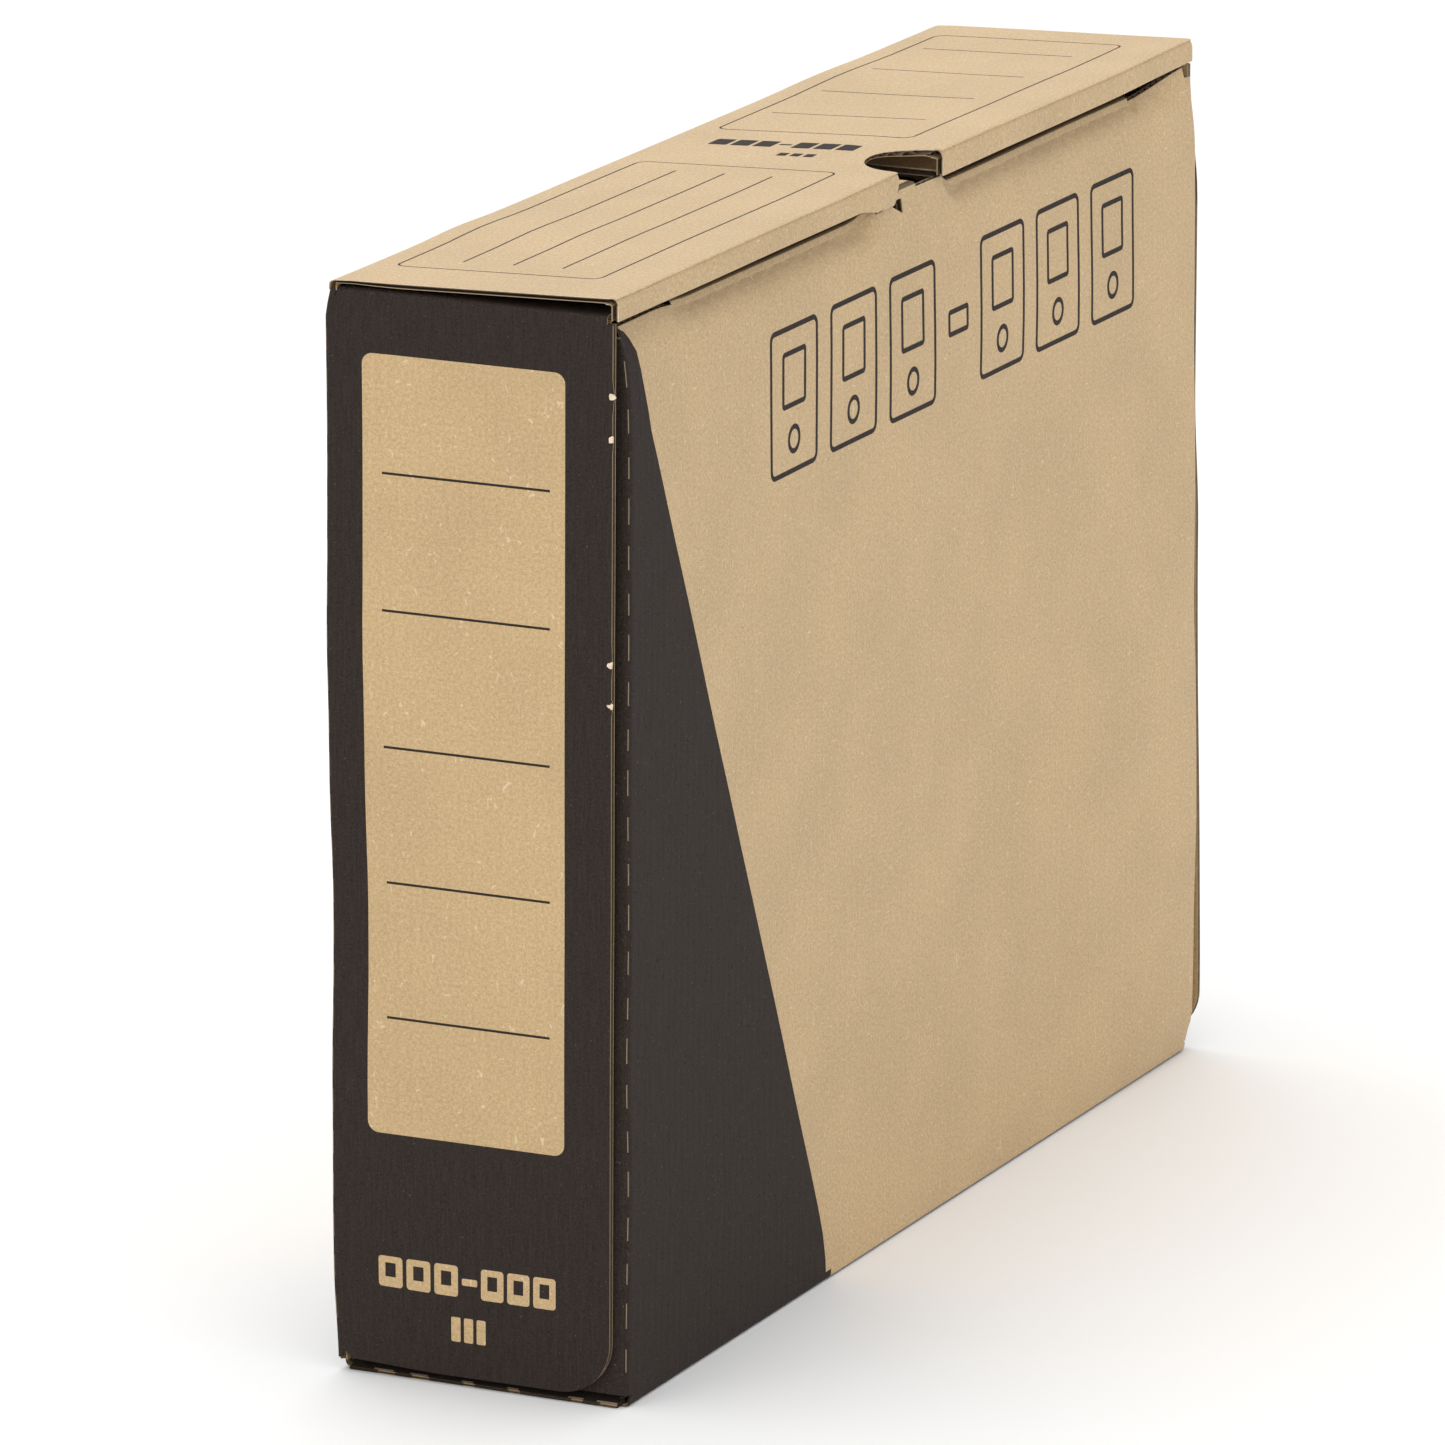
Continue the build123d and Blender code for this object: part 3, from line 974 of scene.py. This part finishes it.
def fluting_paper():
    """The rougher, browner paper of the waves, painted darker still as shade between the liners.
    """
    n = Nodes("fluting_paper")
    rest = n.attribute("rest", "Vector")
    patches = n.ramp(n.noise(rest, 0.5, 4.0, 0.6), 0.3, 0.7)
    colour = n.mix(patches, WAVE_DARK, WAVE_PALE)
    fleck = n.ramp(n.noise(rest, 2.0, 2.0), 0.62, 0.70, 0.0, 0.6)
    n.put(n.shader.inputs["Base Color"], n.mix(fleck, colour, WAVE_FLECK))
    n.shader.inputs["Roughness"].default_value = 0.92
    n.put(n.shader.inputs["Normal"], n.bump(n.noise(rest, 2.0, 3.0), 0.4, 0.00008))
    return n.material


BARE_PAPER = bare_paper()
INK_AND_SHADE_PAPER = ink_and_shade_paper()
FLUTING_PAPER = fluting_paper()

# ---------------------------------------------------------------- boards

spine_shapes = spine_print()
side_shapes = side_print()
BOARDS = [
    # board, normal axis, sign, axis across the flutes, axis along them, print, base ink, and
    # the sides that run on into a fold, as an outline axis and its low (0) or high (1) side
    ("left_panel", X, -1, Y, Z, side_shapes, 0, (0, 0, 0, 1, 1, 0, 1, 1)),
    ("bottom_panel", Z, -1, Y, X, [], 1, (0, 0, 0, 1, 1, 0, 1, 1)),
    ("side_panel", X, 1, Y, Z, side_shapes, 0, (0, 0, 0, 1, 1, 0)),
    ("lid", Z, 1, Y, X, lid_print(), 0, (0, 0, 0, 1)),
    ("near_lip", X, 1, Y, Z, [], 0, (1, 1)),
    ("far_lip", X, 1, Y, Z, [], 0, (1, 1)),
    ("near_top_flap", Z, 1, Y, X, [], 0, (0, 1)),
    ("far_top_flap", Z, 1, Y, X, [], 0, (0, 1)),
]
ENDS = (("spine", -1), ("rear", 1))
for end, sign in ENDS:
    near_side = 0 if sign < 0 else 1
    BOARDS += [
        (end + "_outer_flap", Y, sign, X, Z, spine_shapes, 1, (0, 0, 1, 1)),
        (end + "_tuck_flap", Z, 1, X, Y, [], 1, (1, near_side)),
        (end + "_inner_flap", Y, sign, X, Z, [], 1, (0, 1)),
        (end + "_bottom_flap", Y, sign, Z, X, [], 1, (1, 0)),
    ]
for board, axis, sign, across, along, shapes, base_ink, sides in BOARDS:
    corners = [flat(corner, axis) for corner in box(board + "_outer_liner")]
    folds = [(a, corners[side][a]) for a, side in zip(sides[::2], sides[1::2])]
    if board == "side_panel":
        folds.append((1, FLAP_SEAT))
    liner(board, "outer", axis, sign, across, shapes, base_ink, folds)
    liner(board, "inner", axis, sign, across, [], 0, folds)
    fluting(board, along)

# ---------------------------------------------------------------- folds


def dashes(low, high, pitch=10.2, bridge=4.5):
    """Cuts of a perforated fold, between equal bridges."""
    count = int((high - low - bridge) // pitch) + 1
    margin = (high - low - bridge - (count - 1) * pitch) / 2
    return [
        (low + margin + i * pitch + bridge, low + margin + (i + 1) * pitch)
        for i in range(count - 1)
    ]


INNER_PITCH = 10.7
INNER_CUTS = [
    (244.2 - INNER_PITCH * i, 250.3 - INNER_PITCH * i - 0.5 * (i % 3)) for i in range(23)
]
BOTTOM_CUTS = [
    (-29.0, -24.0), (-19.5, -15.0), (-6.0, -3.0), (6.0, 9.0), (22.0, 26.0), (29.5, 34.8),
]

# the way up along the leaning side panel
LEAN_WAY = (-0.29, 0.957)

# how far along the box the dark corner reaches at its foot
WEDGE_FOOT = -57


def painted_shade_under_lip(along, t):
    """Painted shade, dark from where the fold turns in under the lid."""
    return 0.6 + 0.35 * t if t > 0.35 else 0.0


def half_ink(along, t):
    """Dark on the flap's half of the fold."""
    return 1.0 if t > 0.55 else 0.0


def painted_shade_at_foot(along, t):
    """Painted shade, at the foot only."""
    return 0.9 if along < 20 else 0.0


def painted_shade_in_cuts(along, t):
    """Painted shade in the cuts, darker towards the foot."""
    return 0.52 + 0.33 * ease(245, 215, along)


def bridge_ink(along, t):
    """Dark behind the bridges, and bare behind the cuts."""
    return 0.0 if any(low < along < high for low, high in BOTTOM_CUTS) else 0.9


def corner_ink(along, t):
    """The foot of the dark corner, and the underside."""
    return 1.0 if along < WEDGE_FOOT or t > 0.35 else 0.0


def painted_shade_at_corner_ends(along, t):
    """Painted shade at both ends of a bottom corner."""
    return 0.9 if abs(along) > 150 else 0.0


left_top = box("left_panel_outer_liner")[1].z
left_inner = box("left_panel_inner_liner")[1].x
lid_low, lid_high = box("lid_outer_liner")
lid_under = box("lid_inner_liner")[0].z
fold("lid", ("carton", "lid"), "lid_crease", Y, (lid_low.y, lid_high.y),
     ((-HALF_WIDTH, left_top), (lid_low.x, HEIGHT)),
     ((left_inner, left_top), (lid_low.x, lid_under)),
     ((0, 1), (-1, 0)), even(0.0))

for lip in ("near_lip", "far_lip"):
    lip_low, lip_high = box(lip + "_outer_liner")
    lip_inner = box(lip + "_inner_liner")[0].x
    fold(lip, ("lid", lip), "lip_crease", Y, (lip_low.y, lip_high.y),
         ((lid_high.x, HEIGHT), (lip_high.x, lip_high.z)),
         ((lid_high.x, lid_under), (lip_inner, lip_high.z)),
         ((1, 0), (0, 1)), even(0.0))

side_low, side_high = box("side_panel_outer_liner")
for flap in ("near_top_flap", "far_top_flap"):
    flap_low, flap_high = box(flap + "_outer_liner")
    flap_under = box(flap + "_inner_liner")[0].z
    seat_x = side_high.x - LEAN_SLOPE * (FLAP_SEAT - LEAN_START)
    # painted shade on the top flaps' folds, under the lip
    fold(flap, ("carton", flap), "top_flap_crease", Y, (flap_low.y, flap_high.y),
         ((seat_x, FLAP_SEAT), (flap_high.x, flap_high.z)),
         ((seat_x - BOARD, FLAP_SEAT), (flap_high.x, flap_under)),
         (LEAN_WAY, (1, 0)), painted_shade_under_lip)

for end, sign in ENDS:
    outer_low, outer_high = box(end + "_outer_flap_outer_liner")
    face_y = outer_low.y if sign < 0 else outer_high.y
    back_y = face_y - sign * BOARD
    panel_edge = sign * box("left_panel_outer_liner")[1].y
    fold_low, fold_high = box(end + "_outer_flap_crease")
    # painted shade on the core seen through the cuts, and on the inner paper at the foot
    fold(end + "_outer_flap", ("carton", end + "_outer_flap"), end + "_outer_flap_crease", Z,
         (fold_low.z, fold_high.z),
         ((-HALF_WIDTH, panel_edge), (outer_low.x, face_y)),
         ((left_inner, panel_edge), (outer_low.x, back_y)),
         ((0, sign), (-1, 0)), even(1.0), dashes(fold_low.z, fold_high.z),
         end_raw=0.1, core_shade=even(0.8), inner_shade=painted_shade_at_foot)

    tuck_low, tuck_high = box(end + "_tuck_flap_outer_liner")
    tuck_under = box(end + "_tuck_flap_inner_liner")[0].z
    tuck_edge = tuck_low.y if sign < 0 else tuck_high.y
    fold(end + "_tuck_flap", (end + "_outer_flap", end + "_tuck_flap"),
         end + "_tuck_flap_crease", X, (tuck_low.x, tuck_high.x),
         ((face_y, outer_high.z), (tuck_edge, tuck_high.z)),
         ((back_y, outer_high.z), (tuck_edge, tuck_under)),
         ((0, 1), (sign, 0)), even(1.0))

    inner_low, inner_high = box(end + "_inner_flap_outer_liner")
    inner_face = inner_low.y if sign < 0 else inner_high.y
    side_edge = side_low.y if sign < 0 else side_high.y
    fold_low, fold_high = box(end + "_inner_flap_crease")
    # painted shade on the core seen through the perforation cuts
    fold(end + "_inner_flap", ("carton", end + "_inner_flap"), end + "_inner_flap_crease", Z,
         (inner_low.z, inner_high.z),
         ((HALF_WIDTH, side_edge), (inner_high.x, inner_face)),
         ((HALF_WIDTH - BOARD, side_edge), (inner_high.x, inner_face - sign * BOARD)),
         ((0, sign), (1, 0)), even(1.0) if sign < 0 else half_ink, INNER_CUTS,
         core_shade=painted_shade_in_cuts)

    flap_low, flap_high = box(end + "_bottom_flap_outer_liner")
    flap_face = flap_low.y if sign < 0 else flap_high.y
    floor_low, floor_high = box("bottom_panel_outer_liner")
    floor_edge = floor_low.y if sign < 0 else floor_high.y
    # painted shade on the inner paper of the bottom fold
    fold(end + "_bottom_flap", ("carton", end + "_bottom_flap"),
         end + "_bottom_flap_crease", X, (flap_low.x, flap_high.x),
         ((floor_edge, 0.0), (flap_face, flap_low.z)),
         ((floor_edge, BOARD), (flap_face - sign * BOARD, flap_low.z)),
         ((sign, 0), (0, -1)), even(1.0), BOTTOM_CUTS, (12.5, 1.2), end_raw=0.0,
         core_shade=bridge_ink, inner_shade=even(0.9))

folds_low, folds_high = box("bottom_corner_folds")
radius = folds_high.z
for side_name, sign in (("left", -1), ("right", 1)):
    edge = sign * HALF_WIDTH
    # painted shade on the inner papers at both ends of the bottom corners
    fold("bottom_" + side_name, ("carton",), "bottom_corner_folds", Y,
         (folds_low.y - 3.0, folds_high.y + 3.0),
         ((edge, radius), (edge - sign * radius, 0.0)),
         ((edge - sign * BOARD, radius), (edge - sign * radius, BOARD)),
         ((0, -1), (sign, 0)), corner_ink, end_raw=0.0, inner_shade=painted_shade_at_corner_ends)

# ---------------------------------------------------------------- floor, light and camera

floor = bpy.data.meshes.new("floor")
floor.from_pydata([(-6, -6, 0), (6, -6, 0), (6, 6, 0), (-6, 6, 0)], [], [(0, 1, 2, 3)])
floor_piece = bpy.data.objects.new("floor", floor)
bpy.context.scene.collection.objects.link(floor_piece)
ground = Nodes("pale_floor")
spot = ground.tree.nodes.new("ShaderNodeTexCoord").outputs["Object"]
ground.put(
    ground.shader.inputs["Base Color"],
    ground.mix(ground.noise(spot, 3.0, 3.0), (0.93, 0.93, 0.93, 1), (0.96, 0.96, 0.96, 1)),
)
ground.shader.inputs["Roughness"].default_value = 0.9
floor.materials.append(ground.material)

world = bpy.data.worlds.new("studio")
bpy.context.scene.world = world
world.use_nodes = True
world.node_tree.nodes["Background"].inputs["Color"].default_value = (1, 1, 1, 1)
world.node_tree.nodes["Background"].inputs["Strength"].default_value = 1.0


def softbox(name, position, target, size, power):
    light = bpy.data.lights.new(name, "AREA")
    light.shape = "RECTANGLE"
    light.size, light.size_y = size
    light.energy = power
    lamp = bpy.data.objects.new(name, light)
    lamp.location = position
    lamp.rotation_mode = "QUATERNION"
    lamp.rotation_quaternion = (Vector(target) - Vector(position)).to_track_quat("-Z", "Y")
    bpy.context.scene.collection.objects.link(lamp)


softbox("top_light", (-0.3, 0.2, 1.6), (0, 0, 0.2), (1.2, 1.2), 7.0)
softbox("front_light", (-0.6, -1.8, 0.9), (0, 0, 0.13), (1.2, 1.2), 4)

AZIMUTH = math.radians(25.16)
ELEVATION = math.radians(14.43)
DISTANCE = 2815
ASIDE, DOWN = 15.3, 9.7
back = Vector((
    math.sin(AZIMUTH) * math.cos(ELEVATION),
    -math.cos(AZIMUTH) * math.cos(ELEVATION),
    math.sin(ELEVATION),
))
right = Vector((math.cos(AZIMUTH), math.sin(AZIMUTH), 0))
up = back.cross(right)
centre = Vector((0, 0, 132.5))
camera = bpy.data.objects.new("camera", bpy.data.cameras.new("camera"))
camera.data.sensor_width = 36
camera.data.lens = 286.15
camera.data.clip_start = 0.05
camera.data.clip_end = 50
camera.location = (centre + back * DISTANCE - right * ASIDE - up * DOWN) * MM
camera.rotation_mode = "QUATERNION"
camera.rotation_quaternion = (-back).to_track_quat("-Z", "Y")
bpy.context.scene.collection.objects.link(camera)
bpy.context.scene.camera = camera
bpy.context.scene.view_settings.view_transform = "Standard"
